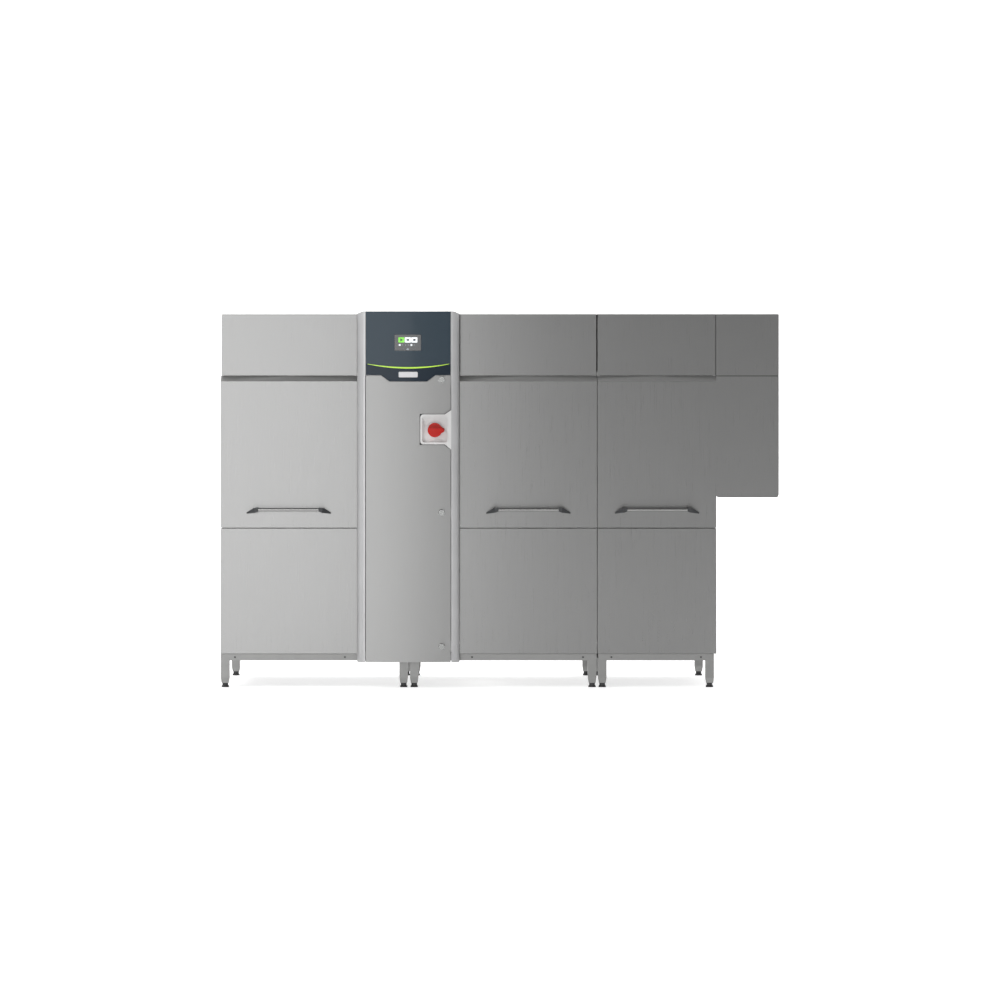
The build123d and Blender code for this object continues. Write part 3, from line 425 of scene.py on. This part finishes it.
for k, dx in enumerate((0.0005, 0.031)):
    tile = rounded_rect(DX + dx, ROW_Z, TILE_W, TILE_H, 0.003)
    extruded(f"screen_tile_{k}", tile, PRINT_Y, 0.0005, white, *SCREEN)
    mark = rounded_rect(DX + dx, ROW_Z, 0.013, 0.009, 0.0044)
    extruded(f"screen_tile_dot_{k}", mark, MARK_Y, 0.0004, slate, *SCREEN)
for k in range(6):
    big = k in (0, 4)
    size, corner = (0.009, 0.0044) if big else (0.004, 0.0019)
    dot = rounded_rect(DX - 0.038 + 0.0138 * k, DOT_ROW_Z, size, size, corner)
    extruded(f"screen_dot_{k}", dot, PRINT_Y, 0.0005, white if big else dot_grey, *SCREEN)
notch = [
    (DX - 0.007, DZ - 0.034),
    (DX + 0.007, DZ - 0.034),
    (DX + 0.003, DZ - 0.027),
    (DX - 0.003, DZ - 0.027),
]
extruded("screen_notch", notch, PRINT_Y, 0.0005, dot_grey, *SCREEN)


# Splash curtains: hanging rubber cut into strips, one piece per curtain
def splash_curtain(node_name):
    low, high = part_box(node_name)
    x_mid = (low[0] + high[0]) / 2
    y0, y1 = low[1] + CURTAIN_CLEARANCE, high[1] - CURTAIN_CLEARANCE
    top = high[2] - 0.0065
    bottom = low[2] + 0.001
    width = (y1 - y0) / CURTAIN_STRIPS
    vertices = []
    faces = []
    for s in range(CURTAIN_STRIPS):
        base = len(vertices)
        ya = y0 + s * width + STRIP_HALF_GAP
        yb = y0 + (s + 1) * width - STRIP_HALF_GAP
        for r in range(CURTAIN_ROWS + 1):
            v = r / CURTAIN_ROWS
            z = top + (bottom - top) * v
            for c in range(CURTAIN_COLUMNS + 1):
                u = c / CURTAIN_COLUMNS
                y = ya + (yb - ya) * u
                lean = 0.0035 * v * math.sin(2.1 * s + 1.3)
                curl = 0.0016 * v * math.sin(math.pi * (2 * u - 1) + s)
                vertices.append((x_mid + (lean + curl), y, z))
        for r in range(CURTAIN_ROWS):
            for c in range(CURTAIN_COLUMNS):
                a = base + r * (CURTAIN_COLUMNS + 1) + c
                b = a + CURTAIN_COLUMNS + 1
                faces.append((a, a + 1, b + 1, b))
    rubber = LOOKS["curtain_rubber"]
    obj = mesh_piece("splash_" + node_name, vertices, faces, rubber, node_name)
    solid = obj.modifiers.new("Thickness", "SOLIDIFY")
    solid.thickness = CURTAIN_THICKNESS
    solid.offset = 0.0
    for poly in obj.data.polygons:
        poly.use_smooth = True
    # Hem sleeve that hangs the sheet on its rod
    ring = []
    ring_faces = []
    segments = HEM_SEGMENTS
    for side in (0, 1):
        for radius in HEM_RADII:
            for k in range(segments):
                angle = 2 * math.pi * k / segments
                y = (y0, y1)[side]
                ring.append((x_mid + radius * math.cos(angle), y, CURTAIN_ROD_Z + radius * math.sin(angle)))
    for k in range(segments):
        n = (k + 1) % segments
        a, b, c, d = k, n, 2 * segments + n, 2 * segments + k
        ring_faces.append((a, b, c, d))
        ring_faces.append((d + segments, c + segments, b + segments, a + segments))
        ring_faces.append((a, a + segments, b + segments, b))
        ring_faces.append((d, c, c + segments, d + segments))
    hem = mesh_piece("hem_" + node_name, ring, ring_faces, rubber, node_name)
    for poly in hem.data.polygons:
        poly.use_smooth = True
    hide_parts(node_name)


for curtain in ("curtain_entry", "curtain_wash_rinse", "curtain_rinse_dryer", "curtain_exit"):
    splash_curtain(curtain)


# ---------------------------------------------------------------- studio
def plane(name, centre, size_x, size_y, rotation, look):
    bpy.ops.mesh.primitive_plane_add(size=1, location=centre, rotation=rotation)
    obj = bpy.context.object
    obj.name = name
    obj.scale = (size_x, size_y, 1)
    obj.data.materials.append(look)
    return obj


floor_look = glowing("floor_look", (0.98, 0.98, 0.98), 0.72)
floor_shader = floor_look.node_tree.nodes["Principled BSDF"]
floor_shader.inputs["Roughness"].default_value = 0.9
floor_shader.inputs["Specular IOR Level"].default_value = 0.0
plane("studio_floor", (0, 0, 0), 60, 60, (0, 0, 0), floor_look)
back_look = glowing("backdrop_look", (1.0, 1.0, 1.0), 1.0)
plane("studio_backdrop", (0, 14, 5), 200, 60, (math.radians(90), 0, 0), back_look)


def area_light(name, location, target, size, power):
    data = bpy.data.lights.new(name, "AREA")
    data.shape = "RECTANGLE"
    data.size, data.size_y = size
    data.energy = power
    obj = bpy.data.objects.new(name, data)
    obj.location = location
    direction = Vector(target) - Vector(location)
    obj.rotation_euler = direction.to_track_quat("-Z", "Y").to_euler()
    bpy.context.scene.collection.objects.link(obj)


area_light("softbox_left", (-3.8, -17.0, 1.9), (-1.0, -0.3, 1.05), (6.8, 5.0), 375)
area_light("key_left", (-4.5, -3.5, 4.5), (-0.5, -0.3, 0.9), (2.5, 2.5), 120)
area_light("top_soft", (0, 0.3, 5.0), (0, 0.3, 0), (7.0, 4.0), 45)

world = bpy.data.worlds.new("studio_world")
world.use_nodes = True
world.node_tree.nodes["Background"].inputs["Color"].default_value = (1, 1, 1, 1)
world.node_tree.nodes["Background"].inputs["Strength"].default_value = 0.14
bpy.context.scene.world = world
bpy.context.scene.view_settings.view_transform = "Standard"

camera_data = bpy.data.cameras.new("photo_camera")
camera_data.sensor_width = 36.0
camera_data.lens = 116.0
camera_data.shift_x = 0.033
camera_data.shift_y = -0.075
camera_data.clip_end = 200
camera = bpy.data.objects.new("photo_camera", camera_data)
camera.location = (-0.157, -15.645, 1.246)
camera.rotation_euler = (math.radians(90), 0, 0)
bpy.context.scene.collection.objects.link(camera)
bpy.context.scene.camera = camera
